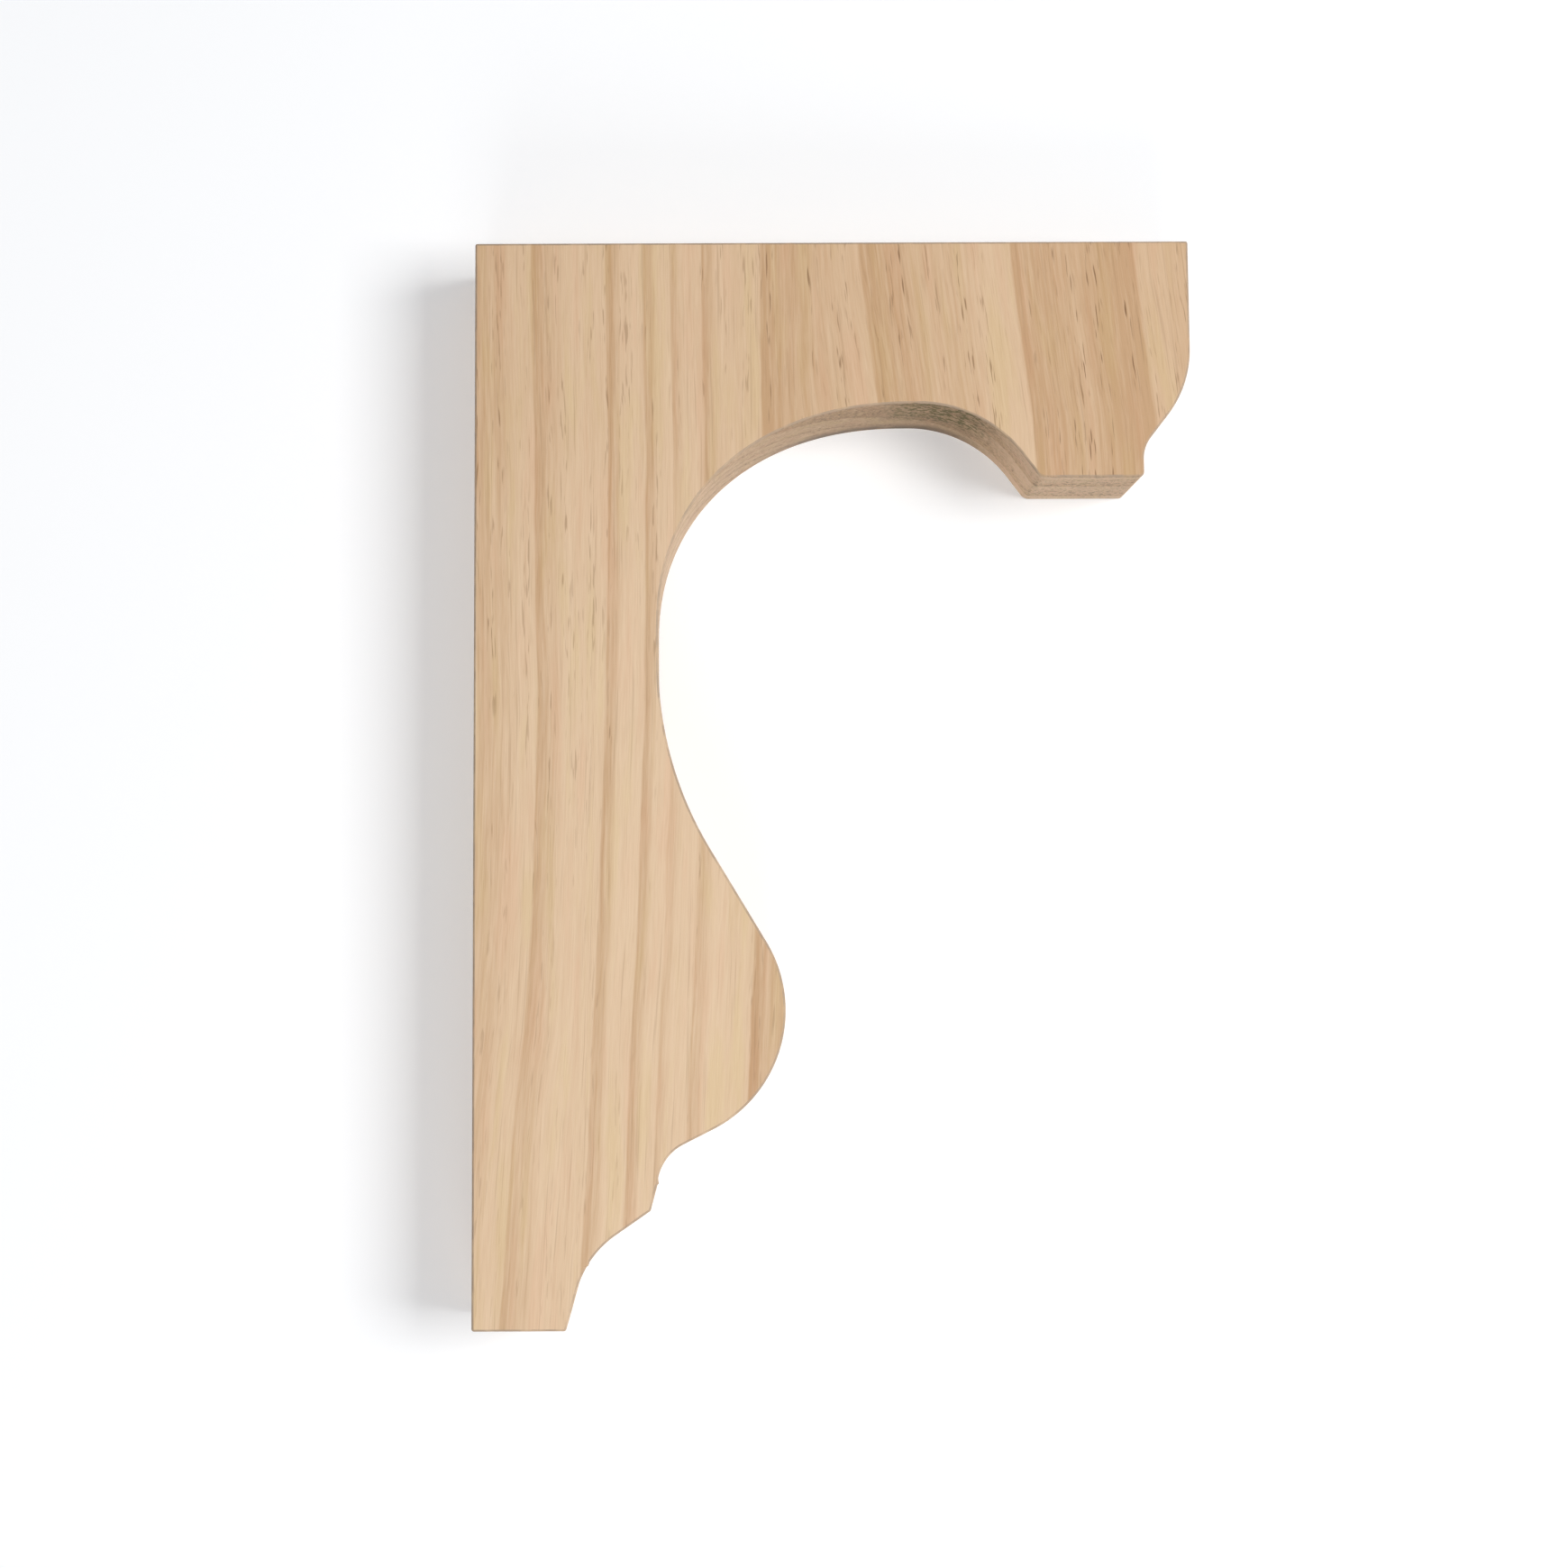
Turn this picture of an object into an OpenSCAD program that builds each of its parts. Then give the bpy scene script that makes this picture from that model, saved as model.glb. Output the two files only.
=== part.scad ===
// Wooden corbel bracket: one flat board, sawn to a scrolled outline.
// The board stands upright as installed: X runs out from the wall, Y across the thickness, Z up.
// The origin is the centre of the back edge, which lies flat on the wall in the plane X = 0.
// Each drop is measured down from the corner or the circle before it, so a change moves all that follows.

/* [Board] */
// Height of the back edge, which lies on the wall
height = 300; // [290:5:450]
// Length of the top edge, which carries the shelf
projection = 200; // [170:5:320]
// Thickness of the board
thickness = 35; // [18:1:60]

/* [Nose] */
// Drop from the shelf edge to the corner that the roll rounds off
roll_drop = 41; // [20:0.5:60]
// Radius of the roll below the straight front
roll_r = 31; // [10:1:60]
// Drop from there to the corner in the small cove
cove_drop = 17.5; // [10:0.5:30]
// Setback of the small cove from the front
cove_in = 13.5; // [6:0.5:25]
// Radius of the small cove
cove_r = 10; // [3:0.5:20]
// Drop from there to the flat underside of the nose
nose_drop = 8.5; // [5:0.5:20]
// Length of the flat underside of the nose
nose_flat = 29; // [16:0.5:40]
// Rounding of the front corner of the nose
nose_tip_r = 1.5; // [0.5:0.5:4]
// Rounding of the corner behind the flat underside
nose_r = 3; // [0.5:0.5:10]
// Slope of the back of the nose, in degrees from level
nose_slope = 53.5; // [35:0.5:75]

/* [Arch] */
// Rise from the underside of the nose to the crown of the arch
nose_rise = 21; // [10:0.5:30]
// Level run from the corner above the nose to the crown
crown_run = 19; // [5:0.5:25]
// Radius between the back of the nose and the crown
crown_r = 36; // [10:1:60]
// Drop of the arch from its crown to the neck
arch_drop = 63; // [30:1:90]
// Fullness of the arch: 2 is an ellipse and more is squarer
arch_fullness = 2.2; // [1.6:0.05:3]

/* [Neck] */
// Width of the neck, its narrowest place
neck_w = 51; // [30:0.5:65]
// Radius between the neck and the flare
neck_r = 100; // [20:5:200]

/* [Belly] */
// Height of the widest place above the foot
belly_up = 86; // [75:0.5:105]
// Width of the belly, its widest place
belly_w = 85.5; // [76:0.5:110]
// Radius of the belly
belly_r = 36; // [20:0.5:45]
// Rise from the widest place to the corner between the neck and the flare
flare_rise = 67.5; // [50:0.5:85]

/* [Step] */
// Drop from the belly to the corner in the cove under it
step_cove_drop = 3; // [0.5:0.5:10]
// Width at that corner
step_cove_w = 52; // [49:0.5:58]
// Radius of that cove
step_cove_r = 13; // [3:0.5:30]
// Drop from there to the outer corner of the step
step_drop = 15; // [8:0.5:20]
// Width at the outer corner of the step
step_w = 48.5; // [40:0.5:49]
// Rounding of the outer corner of the step
step_r = 1; // [0.5:0.5:4]

/* [Foot] */
// Drop from the step to the corner in the cove above the foot
foot_cove_drop = 12; // [5:0.5:20]
// Width at that corner
foot_cove_w = 31; // [27:0.5:38]
// Radius of that cove
foot_cove_r = 26; // [5:1:60]
// Width of the foot
foot_w = 25.5; // [15:0.5:30]

/* [Hidden] */
wood_colour = [0.86, 0.74, 0.60];
arc_step = 1.5;     // degrees between the points of an arc
arch_steps = 60;    // straight lengths along the arch

top = height / 2;
foot = -height / 2;

// The nose, from the front edge back to the crown of the arch.
roll_level = top - roll_drop;
cove_level = roll_level - cove_drop;
nose_level = cove_level - nose_drop;
crown_level = nose_level + nose_rise;
nose_front = projection - cove_in;
nose_back = nose_front - nose_flat;
slope_top = nose_back - nose_rise / tan(nose_slope);
crown_x = slope_top - crown_run;

// The belly is a circle, which the flare above it and the slope below it touch.
belly_centre = [belly_w - belly_r, foot + belly_up];
flare = [neck_w, belly_centre.y + flare_rise];
step_cove = [step_cove_w, belly_centre.y - belly_r - step_cove_drop];
belly_corner = tangents_meet(belly_centre, belly_r,
                             touch_direction(flare, belly_centre, belly_r, -1),
                             touch_direction(step_cove, belly_centre, belly_r, 1));
step_level = step_cove.y - step_drop;

// The arch ends where the straight neck begins. On a short board, the arch and the
// rounding below the neck shrink alike until the neck holds both.
neck_top = [neck_w, crown_level];
neck_cut = leg_cut(neck_top, flare, belly_corner, neck_r);
arch_share = min(1, (neck_top.y - flare.y) / (arch_drop + neck_cut));
arch_end = crown_level - arch_drop * arch_share;

// Corners of the outline before rounding, each as [x, z, radius].
nose_corners = [
    [0, top, 0],
    [projection, top, 0],
    [projection, roll_level, roll_r],
    [nose_front, cove_level, cove_r],
    [nose_front, nose_level, nose_tip_r],
    [nose_back, nose_level, nose_r],
    [slope_top, crown_level, crown_r],
    [crown_x, crown_level, 0]
];
belly_corners = [
    [neck_w, arch_end, 0],
    [flare.x, flare.y, neck_r],
    [belly_corner.x, belly_corner.y, belly_r],
    [step_cove.x, step_cove.y, step_cove_r],
    [step_w, step_level, step_r],
    [foot_cove_w, step_level - foot_cove_drop, foot_cove_r],
    [foot_w, foot, 0],
    [0, foot, 0]
];

function unit(v) = v / norm(v);
function direction(angle) = [cos(angle), sin(angle)];
function place(corner) = [corner.x, corner.y];

// Direction from a circle's centre to the place where a line from the point p touches the circle.
function touch_direction(p, centre, r, side) =
    let (from_centre = p - centre)
    direction(atan2(from_centre.y, from_centre.x) + side * acos(r / norm(from_centre)));

// Where the tangents to a circle at two directions from its centre meet.
function tangents_meet(centre, r, u, v) = centre + (u + v) * r / (1 + u * v);

// Half the angle between the two legs of a corner.
function half_angle(before, corner, after) =
    acos(unit(before - corner) * unit(after - corner)) / 2;

// Length that a rounding takes off each leg of its corner.
function leg_cut(before, corner, after, r) = r / tan(half_angle(before, corner, after));

// Points of an arc that starts at an angle and turns by another.
function arc(centre, r, start, turn) =
    let (steps = max(1, ceil(abs(turn) / arc_step)))
    [for (k = [0:steps]) centre + r * direction(start + turn * k / steps)];

// Points that round one corner, tangent to both of its legs.
function round_corner(before, corner, after, r) =
    let (
        half = half_angle(before, corner, after),
        u = unit(before - corner),
        v = unit(after - corner),
        centre = corner + unit(u + v) * r / sin(half),
        from = corner + u * r / tan(half) - centre,
        to = corner + v * r / tan(half) - centre
    )
    arc(centre, r, atan2(from.y, from.x), atan2(cross(from, to), from * to));

// Share of its radius that corner i keeps, so that each leg holds the roundings at both ends.
function kept_share(corners, cuts, i) =
    min([1, for (j = [i - 1, i]) norm(place(corners[j + 1]) - place(corners[j])) / (cuts[j] + cuts[j + 1])]);

// A chain of corners with each one rounded to its radius. Radius 0 stays sharp.
function rounded(corners) =
    let (
        last = len(corners) - 1,
        is_round = [for (c = corners) c.z > 0],
        cuts = [for (i = [0:last]) is_round[i]
            ? leg_cut(place(corners[i - 1]), place(corners[i]), place(corners[i + 1]), corners[i].z) : 0]
    )
    [for (i = [0:last]) each is_round[i]
        ? round_corner(place(corners[i - 1]), place(corners[i]), place(corners[i + 1]),
                       corners[i].z * kept_share(corners, cuts, i))
        : [place(corners[i])]];

// Quarter of a superellipse, from the crown down to the neck.
function arch() =
    let (span = crown_x - neck_w, drop = crown_level - arch_end, power = 2 / arch_fullness)
    [for (k = [1:arch_steps - 1])
        let (t = 90 * k / arch_steps)
        [crown_x - span * pow(sin(t), power), arch_end + drop * pow(cos(t), power)]];

module bracket() {
    outline = concat(rounded(nose_corners), arch(), rounded(belly_corners));
    color(wood_colour)
        rotate([90, 0, 0])
            linear_extrude(height = thickness, center = true)
                polygon(outline);
}

bracket();
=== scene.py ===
"""Looks of the wooden corbel bracket: one sawn pine board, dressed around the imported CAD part.

X runs out from the wall, Y across the thickness and Z up, in metres. The board lies on a white
table behind its back face and is seen square on, along +Y.
"""

from __future__ import annotations

import logging
import math
from dataclasses import dataclass
from enum import Enum

import bmesh
import bpy
from mathutils import Euler, Matrix, Vector


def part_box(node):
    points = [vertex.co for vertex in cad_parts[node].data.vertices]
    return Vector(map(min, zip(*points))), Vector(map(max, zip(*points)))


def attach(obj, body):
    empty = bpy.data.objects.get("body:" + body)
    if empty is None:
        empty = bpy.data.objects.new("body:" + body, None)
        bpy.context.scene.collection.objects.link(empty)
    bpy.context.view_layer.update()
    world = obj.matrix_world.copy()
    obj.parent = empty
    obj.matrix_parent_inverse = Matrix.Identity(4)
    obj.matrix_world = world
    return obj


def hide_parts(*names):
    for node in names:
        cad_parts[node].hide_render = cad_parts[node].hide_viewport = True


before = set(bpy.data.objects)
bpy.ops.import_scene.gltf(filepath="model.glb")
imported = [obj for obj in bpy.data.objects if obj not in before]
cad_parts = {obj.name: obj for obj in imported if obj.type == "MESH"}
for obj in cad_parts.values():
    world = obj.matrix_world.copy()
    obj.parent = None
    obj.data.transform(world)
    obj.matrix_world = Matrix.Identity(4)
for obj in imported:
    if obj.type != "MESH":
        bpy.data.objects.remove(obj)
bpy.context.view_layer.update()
MM = 0.001
MIDDLE = 0.5   # the middle of a noise, and the height on a curve that stands for no drift
Colour = tuple[float, float, float, float]
Stop = tuple[float, float]
Value = bpy.types.NodeSocket | float
WHITE: Colour = (1.0, 1.0, 1.0, 1.0)

log = logging.getLogger("bracket")


class Sum(Enum):
    """The sums that the finishes make with numbers."""

    ADD = "ADD"
    TAKE = "SUBTRACT"
    TIMES = "MULTIPLY"
    OVER = "DIVIDE"
    ROOT = "SQRT"
    SIZE = "ABSOLUTE"
    LARGER = "MAXIMUM"
    ANGLE = "ARCTAN2"
    LESS = "LESS_THAN"


class Blend(Enum):
    """How one colour is laid over another."""

    COVER = "MIX"
    STAIN = "MULTIPLY"


class Seen(Enum):
    """The kinds of ray that see the studio as plain white."""

    CAMERA = "Is Camera Ray"
    GLOSS = "Is Glossy Ray"
    GLASS = "Is Transmission Ray"


@dataclass(frozen=True)
class Step:
    """A soft step from start to end, while a number goes from low to high. Low may be the larger of them."""

    low: float
    high: float
    start: float = 0.0
    end: float = 1.0


@dataclass(frozen=True)
class Noise:
    """How fine a noise is: the number of finer layers in it and how strong they are."""

    detail: float = 2.0
    rough: float = 0.5


SMOOTH_NOISE = Noise(1.0)
ROUGH_NOISE = Noise(2.0, 0.6)


@dataclass(frozen=True)
class Streaks:
    """Noise drawn out along the grain. Sizes are in mm: across the rings, round them and up the tree."""

    width: float
    depth: float
    length: float
    noise: Noise = Noise()


def paint(red: int, green: int, blue: int) -> Colour:
    """A screen colour as the light it stands for.

    Args:
        red: Red from 0 to 255.
        green: Green from 0 to 255.
        blue: Blue from 0 to 255.

    Returns:
        The linear colour with full opacity.
    """

    def light(level: int) -> float:
        """One channel as light from 0 to 1, by the standard screen curve."""
        share = level / 255
        return share / 12.92 if share <= 0.04045 else ((share + 0.055) / 1.055) ** 2.4

    return light(red), light(green), light(blue), 1.0


class Wiring:
    """Adds nodes to one node tree and joins them up."""

    def __init__(self, tree: bpy.types.NodeTree) -> None:
        """Starts with an empty tree.

        Args:
            tree: The node tree to fill.
        """
        self.tree = tree
        tree.nodes.clear()

    def node(self, kind: str, **settings: object) -> bpy.types.Node:
        """Adds a node.

        Args:
            kind: The node's type.
            **settings: Properties to set on it.

        Returns:
            The new node.
        """
        made = self.tree.nodes.new(kind)
        for name, value in settings.items():
            setattr(made, name, value)
        return made

    def feed(self, socket: bpy.types.NodeSocket, value: Value | Colour) -> None:
        """Joins a socket to an output, or sets it to a constant.

        Args:
            socket: The input to feed.
            value: An output socket, a number or a colour.
        """
        if isinstance(value, bpy.types.NodeSocket):
            self.tree.links.new(value, socket)
        else:
            socket.default_value = value

    def sum(self, kind: Sum, first: Value, second: Value = 0.0,
            clamp: bool = False) -> bpy.types.NodeSocket:
        """Works out one sum.

        Args:
            kind: Which sum.
            first: The first number.
            second: The second number, where the sum has one.
            clamp: Whether the result is kept from 0 to 1.

        Returns:
            The result.
        """
        made = self.node("ShaderNodeMath", operation=kind.value, use_clamp=clamp)
        self.feed(made.inputs[0], first)
        self.feed(made.inputs[1], second)
        return made.outputs[0]

    def product(self, first: Value, second: Value, *others: Value) -> bpy.types.NodeSocket:
        """Multiplies two or more numbers together.

        Args:
            first: The first number.
            second: The second number.
            *others: Any more numbers.

        Returns:
            Their product.
        """
        made = self.sum(Sum.TIMES, first, second)
        for other in others:
            made = self.sum(Sum.TIMES, made, other)
        return made

    def total(self, first: Value, second: Value, *others: Value) -> bpy.types.NodeSocket:
        """Adds two or more numbers together.

        Args:
            first: The first number.
            second: The second number.
            *others: Any more numbers.

        Returns:
            Their total.
        """
        made = self.sum(Sum.ADD, first, second)
        for other in others:
            made = self.sum(Sum.ADD, made, other)
        return made

    def vector(self, x: Value, y: Value, z: Value) -> bpy.types.NodeSocket:
        """Three numbers as one vector.

        Args:
            x: The first number.
            y: The second number.
            z: The third number.

        Returns:
            The vector.
        """
        made = self.node("ShaderNodeCombineXYZ")
        for socket, value in zip(made.inputs, (x, y, z)):
            self.feed(socket, value)
        return made.outputs[0]

    def scaled(self, place: tuple[Value, ...], sizes: tuple[float, ...]) -> bpy.types.NodeSocket:
        """A place as a vector whose units are the given sizes."""
        return self.vector(*(self.sum(Sum.OVER, value, size) for value, size in zip(place, sizes)))

    def parts(self, vector: bpy.types.NodeSocket) -> tuple[bpy.types.NodeSocket, ...]:
        """The three numbers in a vector.

        Args:
            vector: The vector.

        Returns:
            Its numbers.
        """
        made = self.node("ShaderNodeSeparateXYZ")
        self.feed(made.inputs[0], vector)
        return tuple(made.outputs)

    def noise(self, place: tuple[Value, ...], sizes: tuple[float, ...],
              kind: Noise = Noise()) -> bpy.types.NodeSocket:
        """Cloudy noise.

        Args:
            place: Where to read the noise.
            sizes: How long its features are each way.
            kind: How fine it is.

        Returns:
            The noise, centred on 0.5.
        """
        made = self.node("ShaderNodeTexNoise")
        self.feed(made.inputs["Vector"], self.scaled(place, sizes))
        made.inputs["Scale"].default_value = 1.0
        made.inputs["Detail"].default_value = kind.detail
        made.inputs["Roughness"].default_value = kind.rough
        return made.outputs["Fac"]

    def ease(self, value: Value, step: Step) -> bpy.types.NodeSocket:
        """Puts a number through a soft step.

        Args:
            value: The number.
            step: The step.

        Returns:
            The height of the step there.
        """
        made = self.node("ShaderNodeMapRange", interpolation_type="SMOOTHSTEP")
        for socket, number in zip(made.inputs, (value, step.low, step.high, step.start, step.end)):
            self.feed(socket, number)
        return made.outputs[0]

    def zone(self, value: Value, rise: Step, fall: Step) -> bpy.types.NodeSocket:
        """A number that rises through one soft step and falls through another."""
        return self.product(self.ease(value, rise), self.ease(value, fall))

    def profile(self, value: Value, stops: list[Stop]) -> bpy.types.NodeSocket:
        """A curve of straight lengths through up to 32 stops.

        Args:
            value: The number along the curve.
            stops: Place and height of each stop, in order; heights run from 0 to 1.

        Returns:
            The height of the curve there.
        """
        first, last = stops[0][0], stops[-1][0]
        share = self.sum(Sum.OVER, self.sum(Sum.TAKE, value, first), last - first, clamp=True)
        ramp = self.node("ShaderNodeValToRGB")
        self.feed(ramp.inputs[0], share)
        steps = ramp.color_ramp.elements
        for place, height in stops[1:-1]:
            steps.new((place - first) / (last - first)).color = (height, height, height, 1.0)
        for end, (_, height) in ((0, stops[0]), (-1, stops[-1])):
            steps[end].color = (height, height, height, 1.0)
        return ramp.outputs[0]

    def seen_white(self, rays: bpy.types.Node) -> Value:
        """Tells the rays that see the studio as plain white from those that light it.

        Args:
            rays: The light path.

        Returns:
            1 for a ray that sees white, and 0 for the others.
        """
        seen: Value = 0.0
        for kind in Seen:
            seen = self.sum(Sum.LARGER, seen, rays.outputs[kind.value])
        return seen

    def lay(self, share: Value, under: Value | Colour, over: Value | Colour,
            blend: Blend = Blend.COVER) -> bpy.types.NodeSocket:
        """Lays one colour over another.

        Args:
            share: How much of the upper colour shows.
            under: The lower colour.
            over: The upper colour.
            blend: How it is laid.

        Returns:
            The mixed colour.
        """
        made = self.node("ShaderNodeMix", data_type="RGBA", blend_type=blend.value)
        self.feed(made.inputs[0], share)
        self.feed(made.inputs[6], under)
        self.feed(made.inputs[7], over)
        return made.outputs[2]


CORE_SHARE = 0.65   # how dark a ring's core still is, against its edge


@dataclass(frozen=True)
class Ring:
    """One year's dark latewood: sharp on the bark side and fading towards the pith.

    The edge is where the ring meets the front face at the top, in mm from the wall. It rises over
    the sharp length before the edge, and its core and its fade end that far past the edge. The
    depth is its darkness at the edge, and the rest is what stays after the fade.
    """

    edge: float
    core: float
    fade: float
    depth: float
    rest: float = 0.0
    sharp: float = 0.5

    def stops(self, before: float) -> list[Stop]:
        """The ring as stops of a curve.

        Args:
            before: The darkness that the wood before it has.

        Returns:
            Place and darkness of each stop.
        """
        core_darkness = self.rest + CORE_SHARE * (self.depth - self.rest)
        return [
            (self.edge - self.sharp, before),
            (self.edge, self.depth),
            (self.edge + self.core, core_darkness),
            (self.edge + self.fade, self.rest),
        ]


WALL_RINGS = (
    Ring(-20.0, 1.0, 4.5, 0.7),
    Ring(-13.0, 1.0, 4.0, 0.7),
    Ring(-6.5, 1.0, 4.0, 0.6),
    Ring(-0.8, 2.2, 5.2, 0.62, 0.42),
    Ring(5.2, 1.8, 5.0, 0.55, 0.12),
    Ring(15.8, 2.0, 8.5, 0.85, 0.06),
    Ring(36.8, 2.2, 4.2, 0.85, 0.0),
    Ring(47.4, 1.6, 3.4, 0.85, 0.0),
)
NOSE_RINGS = (
    Ring(55.0, 1.4, 3.2, 0.5, 0.0),
    Ring(63.6, 2.0, 4.6, 0.6, 0.0),
    Ring(80.0, 3.0, 27.0, 0.95, 0.1),
    Ring(108.0, 5.0, 17.0, 0.9, 0.3, 1.0),
    Ring(131.0, 3.0, 11.0, 0.4, 0.0, 1.5),
    Ring(150.4, 4.0, 16.0, 0.9, 0.36, 1.0),
)


def band_stops(rings: tuple[Ring, ...]) -> list[Stop]:
    """Joins rings into the stops of one curve.

    Args:
        rings: The rings, from the bark side on.

    Returns:
        Place and darkness of each stop, starting and ending with none.
    """
    stops: list[Stop] = []
    before = 0.0
    for ring in rings:
        stops += ring.stops(before)
        before = ring.rest
    return stops


@dataclass(frozen=True)
class Grain:
    """A place in the tree, in mm: the ring's place on the front face, and three ways through the wood."""

    ring: bpy.types.NodeSocket
    outward: bpy.types.NodeSocket
    around: bpy.types.NodeSocket
    upward: bpy.types.NodeSocket

    def noise(self, wiring: Wiring, streaks: Streaks) -> bpy.types.NodeSocket:
        """Noise drawn out along the grain.

        Args:
            wiring: The material's wiring.
            streaks: Its sizes.

        Returns:
            The noise, centred on 0.5.
        """
        place = (self.outward, self.around, self.upward)
        return wiring.noise(place, (streaks.width, streaks.depth, streaks.length), streaks.noise)

    def waves(self, wiring: Wiring, streaks: Streaks) -> bpy.types.NodeSocket:
        """The same noise, centred on 0."""
        return wiring.sum(Sum.TAKE, self.noise(wiring, streaks), MIDDLE)


@dataclass(frozen=True)
class Spot:
    """A point on the board: its place in mm, how far it is on a sawn side, and how far it cuts the grain."""

    x: bpy.types.NodeSocket
    y: bpy.types.NodeSocket
    z: bpy.types.NodeSocket
    side: bpy.types.NodeSocket
    cut: bpy.types.NodeSocket

    @property
    def place(self) -> tuple[bpy.types.NodeSocket, ...]:
        """The three distances together."""
        return self.x, self.y, self.z


@dataclass(frozen=True)
class PineFinish:
    """Bare planed pine with upright grain, sawn across at the curves. Lengths are in mm."""

    name: str = "bare_pine"

    # The colours. Those of the sawn wood and its tones are stains, and the arch's painted shade is laid the
    # same way: all are multiplied into the wood's own.
    early: Colour = paint(230, 200, 166)
    late: Colour = paint(198, 160, 121)
    rosy: Colour = (1.0, 0.955, 0.95, 1.0)
    straw: Colour = (0.98, 0.995, 0.92, 1.0)
    canal: Colour = paint(138, 104, 72)
    sawn: Colour = (0.93, 0.94, 0.97, 1.0)
    end_grain: Colour = (0.99, 1.0, 1.0, 1.0)
    pore: Colour = paint(112, 92, 62)
    # painted shade: the dark line round the arch's crown by the back face
    contact_shade: Colour = paint(96, 80, 66)
    # painted shade inside the arch, darkest at its crown
    arch_shade: Colour = (0.68, 0.65, 0.60, 1.0)
    moss: Colour = paint(88, 80, 36)
    # the arris colour: partly rubbed wear, partly painted shade along the bevels
    worn_shaded_arris: Colour = paint(172, 150, 128)

    # Where the pith stands, and how the grain drifts away from the wall up the board.
    pith_x: float = 167.0
    pith_depth: float = 110.0
    front: float = -17.5
    drift: tuple[Stop, ...] = (
        (-150, -7.6), (-110, -5.5), (-90, -4.7), (-70, -3.7), (-50, -2.7), (-20, -1.5),
        (10, -0.5), (50, 0.3), (90, 0.7), (150, 0.0))
    wall_drift: tuple[Stop, ...] = (
        (-150, -0.4), (-110, 0.3), (-90, 1.0), (-70, 2.4), (-30, 2.8), (25, 2.2), (50, 1.1), (150, 0.0))
    nose_drift: tuple[Stop, ...] = (
        (-150, 6.5), (80, 6.5), (100, 5.4), (120, 3.1), (140, 0.8), (150, 0.0))
    drift_reach: float = 10.0
    wall_zone: Step = Step(20, 34, 1, 0)
    nose_zone: Step = Step(84, 112)
    sways: tuple[tuple[float, float, float], ...] = ((40, 90, 1.2), (9, 30, 0.6), (2.5, 14, 0.5))
    turn_stretch: float = 1.3

    # The streaks, and how dark the latewood is.
    broad: Streaks = Streaks(2.6, 5.0, 110, ROUGH_NOISE)
    fine: Streaks = Streaks(0.8, 1.5, 30, Noise(3.0, 0.6))
    hair: Streaks = Streaks(0.36, 0.6, 9, ROUGH_NOISE)
    broad_strength: float = 0.34
    fine_strength: float = 0.36
    hair_strength: float = 0.5
    band_strength: float = 0.74
    band_streaking: float = 1.5
    # The board is drawn darker towards the top, away from the wall and at the nose.
    darker_up: Step = Step(20, 120, 0.07, 0.28)
    darker_out: Step = Step(55, 75, 0.0, 0.08)
    darker_nose: Step = Step(150, 185, 0.0, 0.16)

    # The slow changes of tone, rosier and yellower.
    tone: Streaks = Streaks(4, 7, 45)
    rosy_tone: Step = Step(0.5, 0.72)
    straw_tone: Step = Step(0.5, 0.28)

    # The resin canals and the faint lines between them.
    line_streaks: Streaks = Streaks(0.5, 0.9, 40, SMOOTH_NOISE)
    line_step: Step = Step(0.62, 0.76, 0.0, 0.22)
    canal_streaks: Streaks = Streaks(0.5, 0.7, 8, SMOOTH_NOISE)
    canal_step: Step = Step(0.57, 0.70)
    canal_rows: Streaks = Streaks(2.0, 4, 120, SMOOTH_NOISE)
    row_step: Step = Step(0.48, 0.64, 0.12, 1.0)
    canals_out: Step = Step(70, 112, 0.7, 1.0)
    canals_in_bands: Step = Step(0.0, 0.6, 0.62, 1.0)
    canals_up: Step = Step(-60, 60, 0.4, 1.0)

    # The sawn sides, and the end grain with its pores.
    side_facing: Step = Step(0.9, 0.3)
    cut_facing: Step = Step(0.35, 0.95)
    pore_size: tuple[float, float, float] = (0.9, 0.9, 2.0)
    pore_noise: Noise = ROUGH_NOISE
    pore_step: Step = Step(0.5, 0.64)
    pores_in_late: Step = Step(0.3, 0.9, 0.2, 0.75)

    # The painted shade inside the arch and along its crown by the back face, and the specks in its end
    # grain.
    below_top: Step = Step(125, 118)
    arch_side: Step = Step(30, 45)
    # Painted shade inside the sawn arch.
    arch_shade_out: Step = Step(48, 82, 0.62, 1.0)
    arch_shade_end: Step = Step(155, 132)
    arch_shade_up: Step = Step(-20, 30)
    arch_shade_streaks: Step = Step(-0.12, 0.1, 0.7, 1.25)
    speck_size: tuple[float, float, float] = (2.0, 1.5, 2.0)
    speck_noise: Noise = ROUGH_NOISE
    speck_step: Step = Step(0.47, 0.56, 0.15, 0.9)
    moss_start: Step = Step(110, 124)
    moss_end: Step = Step(150, 139)
    moss_front: Step = Step(10.0, -2.0)
    # The painted shade line round the arch's crown by the back face, where the board meets the table.
    contact_shade_start: Step = Step(72, 100)
    contact_shade_end: Step = Step(150, 132)
    contact_shade_up: Step = Step(80, 90)
    contact_shade_top: Step = Step(125, 115)
    contact_shade_back: Step = Step(8.0, 16.0)
    contact_shade_size: tuple[float, float, float] = (7, 3, 7)
    contact_shade_patches: Step = Step(0.3, 0.6, 0.45, 0.85)
    contact_shade_cut: Step = Step(0.2, 0.6)

    # The arrises, partly rubbed wear and partly painted shade, the relief and the gloss.
    rub_and_shade_size: tuple[float, float, float] = (6, 6, 6)
    rub_and_shade_step: Step = Step(0.35, 0.6, 0.4, 0.85)
    saw_size: tuple[float, float, float] = (1.1, 30, 1.1)
    fine_height: float = 0.5
    hair_height: float = 0.6
    saw_height: float = 0.9
    canal_depth: float = 0.5
    relief_strength: float = 0.6
    relief_height: float = 0.12
    gloss: float = 0.25
    roughness: Step = Step(0.0, 1.0, 0.68, 0.56)

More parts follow.
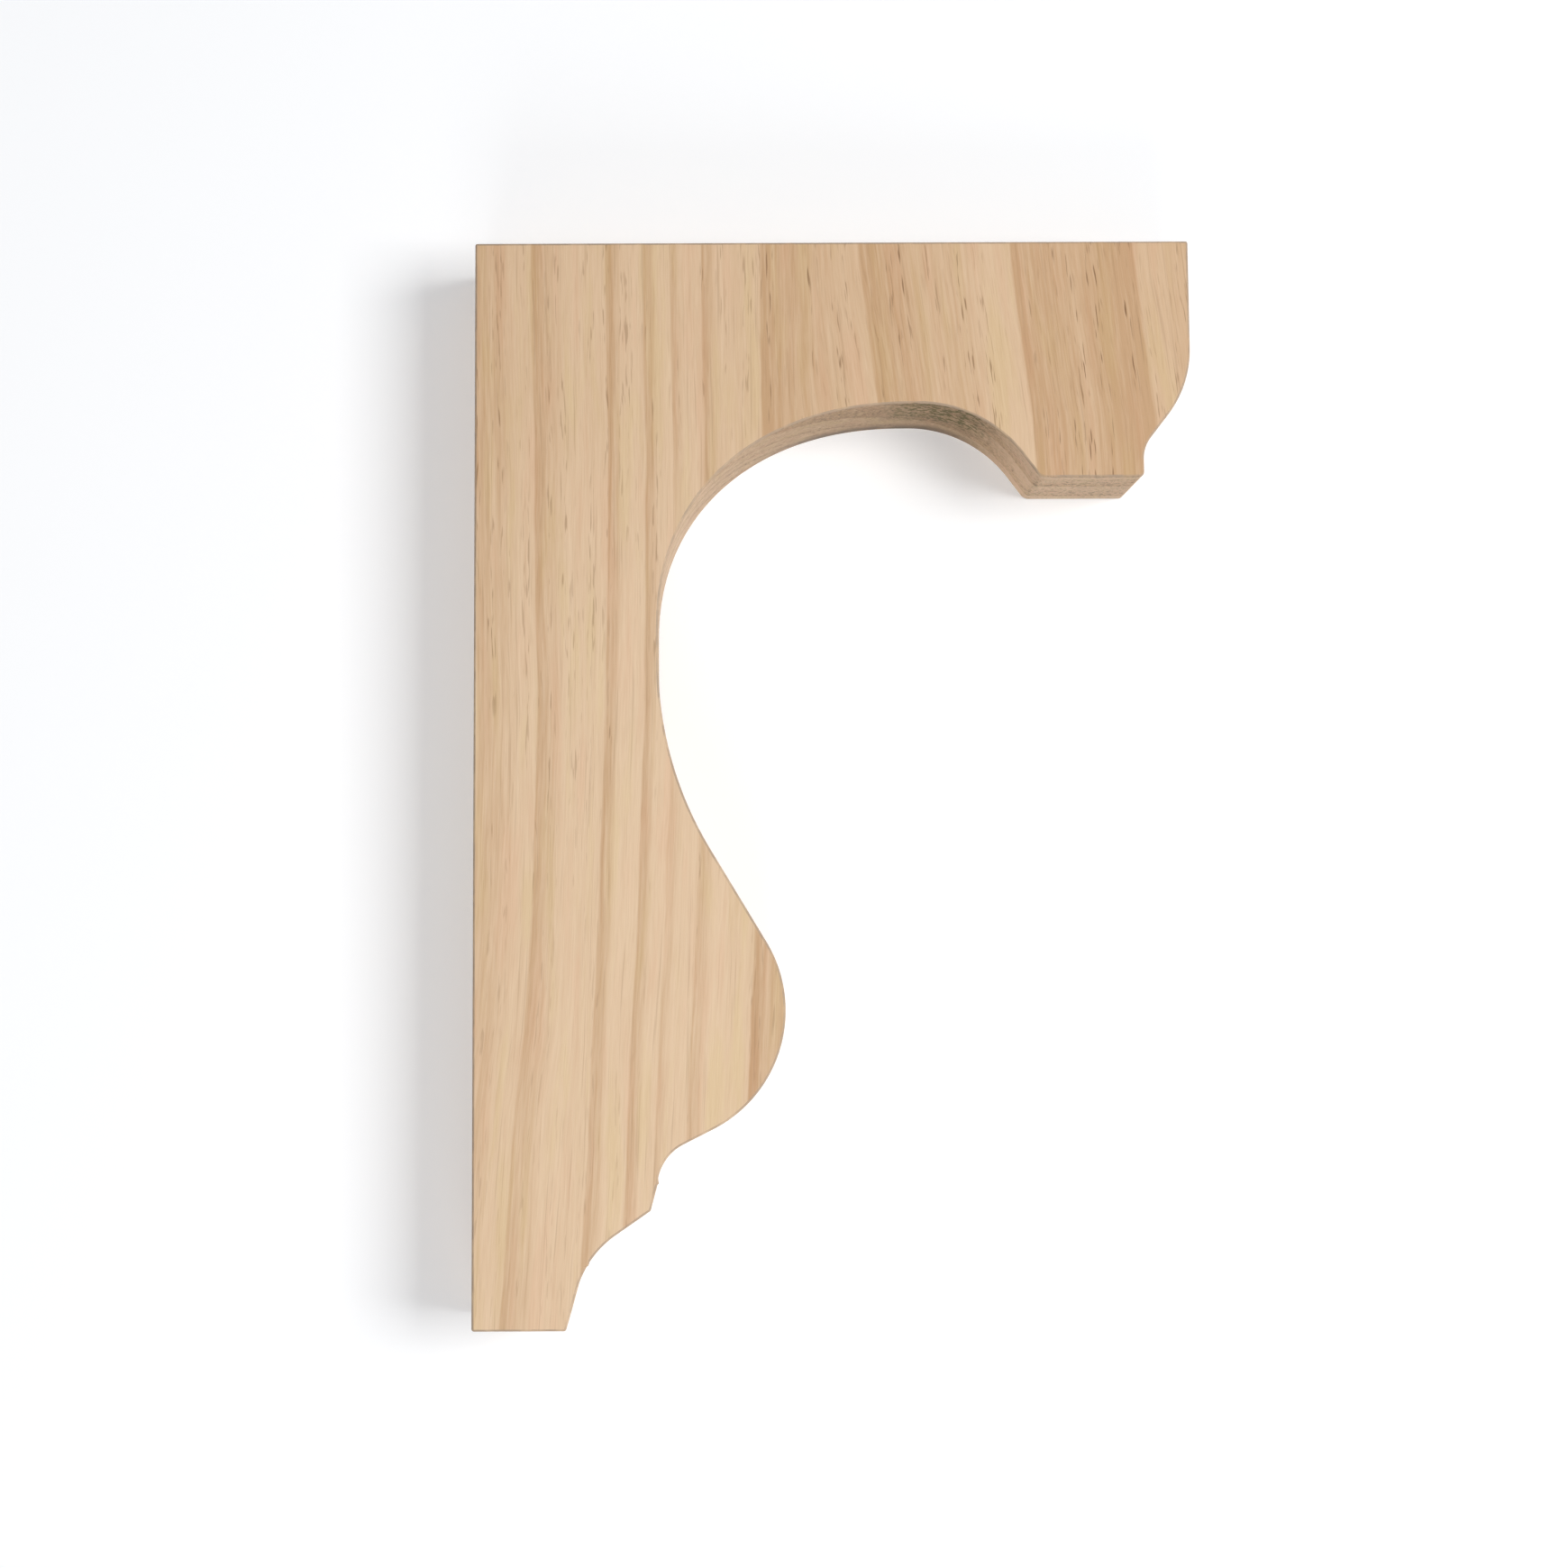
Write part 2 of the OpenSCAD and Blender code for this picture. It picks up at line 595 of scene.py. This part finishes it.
    def bend(self, wiring: Wiring, z: bpy.types.NodeSocket,
             stops: tuple[Stop, ...]) -> bpy.types.NodeSocket:
        """How far the grain has drifted at a height.

        Args:
            wiring: The material's wiring.
            z: The height.
            stops: Height and drift of each stop, in order.

        Returns:
            The drift away from the wall.
        """
        reach = self.drift_reach
        share = wiring.profile(z, [(height, MIDDLE + away / reach / 2) for height, away in stops])
        return wiring.product(wiring.sum(Sum.TAKE, share, MIDDLE), 2 * reach)

    def drifting(self, wiring: Wiring, spot: Spot) -> bpy.types.NodeSocket:
        """How far the grain has drifted at a spot, with its small sways.

        Args:
            wiring: The material's wiring.
            spot: The point on the board.

        Returns:
            The drift away from the wall.
        """
        drift = self.bend(wiring, spot.z, self.drift)
        for zone, stops in ((self.wall_zone, self.wall_drift), (self.nose_zone, self.nose_drift)):
            there = wiring.ease(spot.x, zone)
            drift = wiring.total(drift, wiring.product(there, self.bend(wiring, spot.z, stops)))
        for width, height, sway in self.sways:
            noise = wiring.noise(spot.place, (width, width, height), SMOOTH_NOISE)
            drift = wiring.total(drift, wiring.product(wiring.sum(Sum.TAKE, noise, MIDDLE), sway))
        return drift

    def grain(self, wiring: Wiring, spot: Spot) -> Grain:
        """Places a spot among the rings.

        Args:
            wiring: The material's wiring.
            spot: The point on the board.

        Returns:
            The place in the tree.
        """
        drift = self.drifting(wiring, spot)
        across = wiring.sum(Sum.TAKE, self.pith_x, wiring.sum(Sum.TAKE, spot.x, drift))
        away = wiring.sum(Sum.TAKE, spot.y, self.front - self.pith_depth)
        squares = wiring.total(wiring.product(across, across), wiring.product(away, away))
        face = wiring.sum(Sum.LARGER, wiring.sum(Sum.TAKE, squares, self.pith_depth ** 2), 0.0)
        turn = wiring.sum(Sum.ANGLE, across, away)
        return Grain(
            ring=wiring.sum(Sum.TAKE, self.pith_x, wiring.sum(Sum.ROOT, face)),
            outward=wiring.sum(Sum.ROOT, squares),
            around=wiring.product(turn, self.turn_stretch * self.pith_depth),
            upward=spot.z,
        )

    def canals(self, wiring: Wiring, spot: Spot, grain: Grain, bands: Value) -> bpy.types.NodeSocket:
        """The short dark resin canals, most of them in rows and in the bands, with fainter lines between.

        Args:
            wiring: The material's wiring.
            spot: The point on the board.
            grain: Its place in the tree.
            bands: How far it lies in a dark band.

        Returns:
            How dark they are.
        """
        dashes = wiring.product(
            wiring.ease(grain.noise(wiring, self.canal_streaks), self.canal_step),
            wiring.ease(grain.noise(wiring, self.canal_rows), self.row_step),
            wiring.ease(spot.x, self.canals_out),
            wiring.ease(bands, self.canals_in_bands),
            wiring.ease(spot.z, self.canals_up),
        )
        lines = wiring.ease(grain.noise(wiring, self.line_streaks), self.line_step)
        return wiring.sum(Sum.LARGER, dashes, lines)

    def contact_shading(self, wiring: Wiring, spot: Spot) -> bpy.types.NodeSocket:
        """Painted shade: the dark line round the crown of the arch, next to the back face, where the board
        meets the table.

        Args:
            wiring: The material's wiring.
            spot: The point on the board.

        Returns:
            How dark the line is.
        """
        return wiring.product(
            wiring.zone(spot.x, self.contact_shade_start, self.contact_shade_end),
            wiring.zone(spot.z, self.contact_shade_up, self.contact_shade_top),
            wiring.ease(spot.y, self.contact_shade_back),
            wiring.ease(wiring.noise(spot.place, self.contact_shade_size), self.contact_shade_patches),
            wiring.ease(spot.cut, self.contact_shade_cut),
        )

    def arch_shading(self, wiring: Wiring, spot: Spot, fine: Value) -> bpy.types.NodeSocket:
        """Painted shade inside the sawn arch, darkest at its crown under the arm.

        Args:
            wiring: The material's wiring.
            spot: The point on the board.
            fine: The fine streaks there.

        Returns:
            How much darker it is.
        """
        return wiring.product(
            wiring.ease(spot.x, self.arch_side),
            wiring.zone(spot.x, self.arch_shade_out, self.arch_shade_end),
            wiring.zone(spot.z, self.arch_shade_up, self.below_top),
            spot.side,
            wiring.ease(fine, self.arch_shade_streaks),
        )

    def mossing(self, wiring: Wiring, spot: Spot) -> bpy.types.NodeSocket:
        """The olive specks in the end grain, on the front half of the crown next to the nose.

        Args:
            wiring: The material's wiring.
            spot: The point on the board.

        Returns:
            How strong they are.
        """
        return wiring.product(
            wiring.zone(spot.x, self.moss_start, self.moss_end),
            wiring.ease(wiring.noise(spot.place, self.speck_size, self.speck_noise), self.speck_step),
            wiring.ease(spot.y, self.moss_front),
            wiring.ease(spot.z, self.below_top),
            spot.cut,
        )

    def sawn_colour_and_shade(self, wiring: Wiring, spot: Spot, colour: Value, late: Value,
                    fine: Value) -> bpy.types.NodeSocket:
        """Lays the marks of the saw, the specks and the painted shade of the arch over the wood's own
        colour.

        Args:
            wiring: The material's wiring.
            spot: The point on the board.
            colour: The wood's colour.
            late: How far it is latewood.
            fine: The fine streaks there.

        Returns:
            The colour with end grain, pores, painted arch shade, specks and the painted shade line by the
            back face.
        """
        colour = wiring.lay(spot.side, colour, self.sawn, Blend.STAIN)
        colour = wiring.lay(spot.cut, colour, self.end_grain, Blend.STAIN)
        pores = wiring.product(
            spot.cut,
            wiring.ease(wiring.noise(spot.place, self.pore_size, self.pore_noise), self.pore_step),
            wiring.ease(late, self.pores_in_late),
        )
        colour = wiring.lay(pores, colour, self.pore)
        # painted shade inside the arch
        colour = wiring.lay(self.arch_shading(wiring, spot, fine), colour, self.arch_shade, Blend.STAIN)
        colour = wiring.lay(self.mossing(wiring, spot), colour, self.moss)
        # painted shade: the dark line round the crown by the back face
        return wiring.lay(self.contact_shading(wiring, spot), colour, self.contact_shade)

    def rubbed_and_shaded(self, wiring: Wiring, spot: Spot) -> bpy.types.NodeSocket:
        """How far an arris is rubbed and painted darker as shade along the bevel.

        Args:
            wiring: The material's wiring.
            spot: The point on the board.

        Returns:
            The share of the arris colour, partly rubbed wear and partly painted shade.
        """
        arris = wiring.node("ShaderNodeAttribute", attribute_name=BracketBoard.ARRIS)
        patches = wiring.noise(spot.place, self.rub_and_shade_size)
        return wiring.product(arris.outputs["Fac"], wiring.ease(patches, self.rub_and_shade_step))

    def bump(self, wiring: Wiring, spot: Spot, fine: Value, hair: Value,
             canals: Value) -> bpy.types.NodeSocket:
        """Raises the streaks and the saw marks, and sinks the canals.

        Args:
            wiring: The material's wiring.
            spot: The point on the board.
            fine: The fine streaks there.
            hair: The hair streaks there.
            canals: The canals there.

        Returns:
            The surface's direction.
        """
        saw = wiring.noise(spot.place, self.saw_size)
        height = wiring.total(
            wiring.product(fine, self.fine_height),
            wiring.product(hair, self.hair_height),
            wiring.product(spot.side, saw, self.saw_height),
        )
        height = wiring.sum(Sum.TAKE, height, wiring.product(canals, self.canal_depth))
        bump = wiring.node("ShaderNodeBump")
        bump.inputs["Strength"].default_value = self.relief_strength
        bump.inputs["Distance"].default_value = self.relief_height * MM
        wiring.feed(bump.inputs["Height"], height)
        return bump.outputs[0]

    def spot(self, wiring: Wiring) -> Spot:
        """Reads where a point lies and which way it faces.

        Args:
            wiring: The material's wiring.

        Returns:
            The point on the board.
        """
        where = wiring.node("ShaderNodeTexCoord")
        x, y, z = (wiring.product(part, 1 / MM) for part in wiring.parts(where.outputs["Object"]))
        facing = [wiring.sum(Sum.SIZE, part) for part in wiring.parts(where.outputs["Normal"])]
        side, cut = wiring.ease(facing[1], self.side_facing), wiring.ease(facing[2], self.cut_facing)
        return Spot(x, y, z, side, cut)

    def material(self) -> bpy.types.Material:
        """The finish as a material.

        Returns:
            The new material.
        """
        made = bpy.data.materials.new(self.name)
        made.use_nodes = True
        wiring = Wiring(made.node_tree)
        spot = self.spot(wiring)
        grain = self.grain(wiring, spot)

        bands = wiring.sum(Sum.LARGER, wiring.profile(grain.ring, band_stops(WALL_RINGS)),
                           wiring.profile(grain.ring, band_stops(NOSE_RINGS)))
        broad, fine, hair = (grain.waves(wiring, streaks) for streaks in (self.broad, self.fine, self.hair))
        banding = wiring.total(wiring.product(fine, self.band_streaking), self.band_strength)
        late = wiring.total(
            wiring.product(bands, banding),
            wiring.product(broad, self.broad_strength),
            wiring.product(fine, self.fine_strength),
            wiring.product(hair, self.hair_strength),
            wiring.ease(spot.z, self.darker_up),
            wiring.ease(spot.x, self.darker_out),
        )
        late = wiring.sum(Sum.ADD, late, wiring.ease(spot.x, self.darker_nose), clamp=True)

        tone = grain.noise(wiring, self.tone)
        canals = self.canals(wiring, spot, grain, bands)
        colour = wiring.lay(late, self.early, self.late)
        colour = wiring.lay(wiring.ease(tone, self.rosy_tone), colour, self.rosy, Blend.STAIN)
        colour = wiring.lay(wiring.ease(tone, self.straw_tone), colour, self.straw, Blend.STAIN)
        colour = wiring.lay(canals, colour, self.canal)
        colour = self.sawn_colour_and_shade(wiring, spot, colour, late, fine)
        # arrises: partly rubbed wear, partly painted shade
        colour = wiring.lay(self.rubbed_and_shaded(wiring, spot), colour, self.worn_shaded_arris)

        shader = wiring.node("ShaderNodeBsdfPrincipled")
        shader.inputs["Specular IOR Level"].default_value = self.gloss
        wiring.feed(shader.inputs["Base Color"], colour)
        wiring.feed(shader.inputs["Roughness"], wiring.ease(late, self.roughness))
        wiring.feed(shader.inputs["Normal"], self.bump(wiring, spot, fine, hair, canals))
        out = wiring.node("ShaderNodeOutputMaterial")
        wiring.feed(out.inputs["Surface"], shader.outputs[0])
        return made


def stand(name: str, data: bpy.types.ID) -> bpy.types.Object:
    """Stands a new object in the scene.

    Args:
        name: Its name.
        data: Its mesh, light or camera.

    Returns:
        The object.
    """
    made = bpy.data.objects.new(name, data)
    bpy.context.scene.collection.objects.link(made)
    return made


@dataclass(frozen=True)
class TableFinish:
    """The white table: plain white to the eye, with the board's shadow kept.

    It is clear from behind and to rays shorter than the touching length, in metres, so that no light
    bounces between it and the back face that lies on it.
    """

    name: str = "white_table"
    white: Colour = (0.77, 0.77, 0.77, 1.0)
    glow: float = 0.295
    touching: float = 1.5 * MM

    def material(self) -> bpy.types.Material:
        """The finish as a material.

        Returns:
            The new material.
        """
        made = bpy.data.materials.new(self.name)
        made.use_nodes = True
        wiring = Wiring(made.node_tree)
        rays = wiring.node("ShaderNodeLightPath")
        matt = wiring.node("ShaderNodeBsdfDiffuse")
        wiring.feed(matt.inputs["Color"], self.white)
        glow = wiring.node("ShaderNodeEmission")
        wiring.feed(glow.inputs["Strength"], wiring.product(wiring.seen_white(rays), self.glow))
        lit = wiring.node("ShaderNodeAddShader")
        wiring.feed(lit.inputs[0], matt.outputs[0])
        wiring.feed(lit.inputs[1], glow.outputs[0])
        clear = wiring.node("ShaderNodeBsdfTransparent")
        behind = wiring.node("ShaderNodeNewGeometry").outputs["Backfacing"]
        under = wiring.sum(Sum.LESS, rays.outputs["Ray Length"], self.touching)
        either = wiring.node("ShaderNodeMixShader")
        wiring.feed(either.inputs[0], wiring.sum(Sum.LARGER, behind, under))
        wiring.feed(either.inputs[1], lit.outputs[0])
        wiring.feed(either.inputs[2], clear.outputs[0])
        out = wiring.node("ShaderNodeOutputMaterial")
        wiring.feed(out.inputs["Surface"], either.outputs[0])
        return made


@dataclass
class BracketBoard:
    """The whole bracket: one flat board, sawn to a scroll, with eased arrises.

    Lengths are in mm and angles in degrees.
    """

    ARRIS = "arris"

    name: str = "bracket_board"
    node: str = "bracket"
    arris_width: float = 0.6
    arris_steps: int = 3
    corner_angle: float = 30.0
    smooth_angle: float = 40.0
    face_angle: float = 2.5
    merge: float = 0.001
    flat_angle: float = 0.3

    # Each burr's distance from the wall and height, how far they spread, stand out and go into the
    # arris, and the cuts across it that they are lifted from, as shares of their spread.
    burrs: tuple[tuple[float, float], ...] = ((50.6, -110.5), (31.0, -132.0))
    burr_reach: float = 1.1
    burr_lift: float = 0.6
    burr_depth: float = 0.36
    burr_cuts: tuple[float, ...] = (-0.5, 0.0, 0.5)

    def build(self) -> bpy.types.Object:
        """Makes the board, dresses it, attaches it to the root body and hides the CAD part it replaces.

        Returns:
            The finished piece.
        """
        shape = bmesh.new()
        shape.from_mesh(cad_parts[self.node].data)
        self.join_faces(shape)
        self.ease(shape)
        self.fray(shape)
        self.smooth(shape)
        mesh = bpy.data.meshes.new(self.name)
        shape.to_mesh(mesh)
        shape.free()
        mesh.materials.append(PineFinish().material())
        board = stand(self.name, mesh)
        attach(board, "root")
        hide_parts(self.node)
        return board

    def join_faces(self, shape: bmesh.types.BMesh) -> None:
        """Merges the CAD triangles into whole faces.

        Args:
            shape: The board's shape, as loose triangles.
        """
        bmesh.ops.remove_doubles(shape, verts=shape.verts[:], dist=self.merge * MM)
        bmesh.ops.dissolve_limit(shape, angle_limit=math.radians(self.flat_angle), verts=shape.verts[:],
                                 edges=shape.edges[:], use_dissolve_boundaries=False)
        bmesh.ops.recalc_face_normals(shape, faces=shape.faces[:])

    def ease(self, shape: bmesh.types.BMesh) -> None:
        """Eases every arris and marks its faces for the finish.

        Args:
            shape: The board's shape, with sharp arrises.
        """
        mark = shape.faces.layers.float.new(self.ARRIS)
        sharp = [edge for edge in shape.edges if edge.calc_face_angle() > math.radians(self.corner_angle)]
        made = bmesh.ops.bevel(shape, geom=sharp, offset=self.arris_width * MM, offset_type="OFFSET",
                               segments=self.arris_steps, profile=0.5, affect="EDGES", material=-1,
                               clamp_overlap=True)
        for face in made["faces"]:
            face[mark] = 1.0

    def fray(self, shape: bmesh.types.BMesh) -> None:
        """Lifts the small burrs that the saw left on the front arris of the foot.

        Args:
            shape: The board's shape, with eased arrises.
        """
        for _, z in self.burrs:
            for off in self.burr_cuts:
                bmesh.ops.bisect_plane(shape, geom=shape.verts[:] + shape.edges[:] + shape.faces[:],
                                       dist=self.merge * MM, plane_no=(0.0, 0.0, 1.0),
                                       plane_co=(0.0, 0.0, (z + off * self.burr_reach) * MM))
        shape.normal_update()
        face = min(vert.co.y for vert in shape.verts)
        front = [vert for vert in shape.verts if vert.co.y < face + self.burr_depth * MM]
        for x, z in self.burrs:
            place = Vector((x * MM, face, z * MM))
            tip = min(front, key=lambda vert: (vert.co - place).length)
            outward = Vector((tip.normal.x, 0.0, tip.normal.z)).normalized()
            middle = tip.co.copy()
            for vert in front:
                near = 1 - (vert.co - middle).length / (self.burr_reach * MM)
                if near > 0:
                    vert.co += outward * near * self.burr_lift * MM

    def smooth(self, shape: bmesh.types.BMesh) -> None:
        """Shades the sawn sides and arrises smooth, and keeps the two faces flat.

        Args:
            shape: The board's shape.
        """
        for face in shape.faces:
            face.smooth = abs(face.normal.y) < math.cos(math.radians(self.face_angle))
        for edge in shape.edges:
            edge.smooth = edge.calc_face_angle() < math.radians(self.smooth_angle)


@dataclass
class Lamp:
    """A soft square lamp, plain white, that points at a place on the board. Lengths are in metres."""

    name: str
    place: tuple[float, float, float]
    side: float
    power: float
    aim: tuple[float, float, float] = (0.08, 0.0, 0.0)

    def build(self) -> bpy.types.Object:
        """Makes the lamp.

        Returns:
            The lamp's object.
        """
        data = bpy.data.lights.new(self.name, "AREA")
        data.shape = "SQUARE"
        data.size = self.side
        data.energy = self.power
        lamp = stand(self.name, data)
        lamp.location = self.place
        lamp.rotation_euler = (Vector(self.aim) - Vector(self.place)).to_track_quat("-Z", "Y").to_euler()
        return lamp


@dataclass
class Studio:
    """The white table that the board lies on, the lamps and the white surroundings, in metres."""

    table_gap: float = 0.3 * MM
    table_side: float = 4.0
    ambient: Colour = (0.285, 0.30, 0.325, 1.0)
    lamps: tuple[Lamp, ...] = (
        Lamp("key_lamp", (1.40, -1.76, 0.05), 1.0, 36.0),
        Lamp("low_fill", (0.0, -0.80, -1.20), 0.7, 5.0),
        Lamp("rear_lamp", (-0.7, 1.1, 0.55), 0.8, 12.0),
        Lamp("rear_fill", (0.9, 1.0, -0.2), 0.9, 4.5),
    )

    def build(self) -> bpy.types.Object:
        """Makes the table, the lamps and the surroundings.

        Returns:
            The table.
        """
        table = self.lay_table()
        for lamp in self.lamps:
            lamp.build()
        self.surround()
        return table

    def lay_table(self) -> bpy.types.Object:
        """Lays the table against the board's back face.

        Returns:
            The table.
        """
        low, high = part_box("bracket")
        middle = (low + high) / 2
        shape = bmesh.new()
        bmesh.ops.create_grid(shape, x_segments=1, y_segments=1, size=self.table_side / 2)
        bmesh.ops.rotate(shape, verts=shape.verts[:], cent=(0, 0, 0),
                         matrix=Matrix.Rotation(math.pi / 2, 3, "X"))
        bmesh.ops.translate(shape, verts=shape.verts[:], vec=(middle.x, high.y + self.table_gap, middle.z))
        mesh = bpy.data.meshes.new("table")
        shape.to_mesh(mesh)
        shape.free()
        mesh.materials.append(TableFinish().material())
        table = stand("table", mesh)
        table.visible_shadow = False
        return table

    def surround(self) -> None:
        """Sets the soft light from all round, which the eye sees as white."""
        world = bpy.data.worlds.new("surroundings")
        bpy.context.scene.world = world
        world.use_nodes = True
        wiring = Wiring(world.node_tree)
        rays = wiring.node("ShaderNodeLightPath")
        colour = wiring.lay(wiring.seen_white(rays), self.ambient, WHITE)
        light = wiring.node("ShaderNodeBackground")
        wiring.feed(light.inputs["Color"], colour)
        out = wiring.node("ShaderNodeOutputWorld")
        wiring.feed(out.inputs["Surface"], light.outputs[0])


@dataclass
class ViewingCamera:
    """The camera, square on to the board's face and a little to the wall side of its middle.

    Its place and reach are in metres, the lens and sensor in mm, the angles in degrees and the
    shift in widths of the view.
    """

    place: tuple[float, float, float] = (0.0554, -0.7152, -0.0482)
    lens: float = 58.34
    sensor: float = 36.0
    tilt: float = 5.34
    turn: float = -0.05
    roll: float = -0.22
    shift: tuple[float, float] = (0.0685, -0.0443)
    reach: tuple[float, float] = (0.01, 20.0)

    def build(self) -> bpy.types.Object:
        """Makes the camera and looks through it.

        Returns:
            The camera's object.
        """
        data = bpy.data.cameras.new("camera")
        data.sensor_width = self.sensor
        data.lens = self.lens
        data.shift_x, data.shift_y = self.shift
        data.clip_start, data.clip_end = self.reach
        camera = stand("camera", data)
        aim = Euler((math.radians(90 + self.tilt), 0.0, math.radians(self.turn))).to_matrix()
        camera.matrix_world = Matrix.Translation(self.place) @ (
            aim @ Matrix.Rotation(math.radians(self.roll), 3, "Z")).to_4x4()
        bpy.context.scene.camera = camera
        return camera


def main() -> None:
    """Builds the camera, the board and the studio in order, and logs each one's name and face count."""
    logging.basicConfig(level=logging.INFO, format="%(name)s: %(message)s")
    bpy.context.scene.view_settings.view_transform = "Standard"
    for part in (ViewingCamera(), BracketBoard(), Studio()):
        made = part.build()
        faces = len(made.data.polygons) if made.type == "MESH" else 0
        log.info("%s built, %d faces", made.name, faces)


if __name__ == "__main__":
    main()
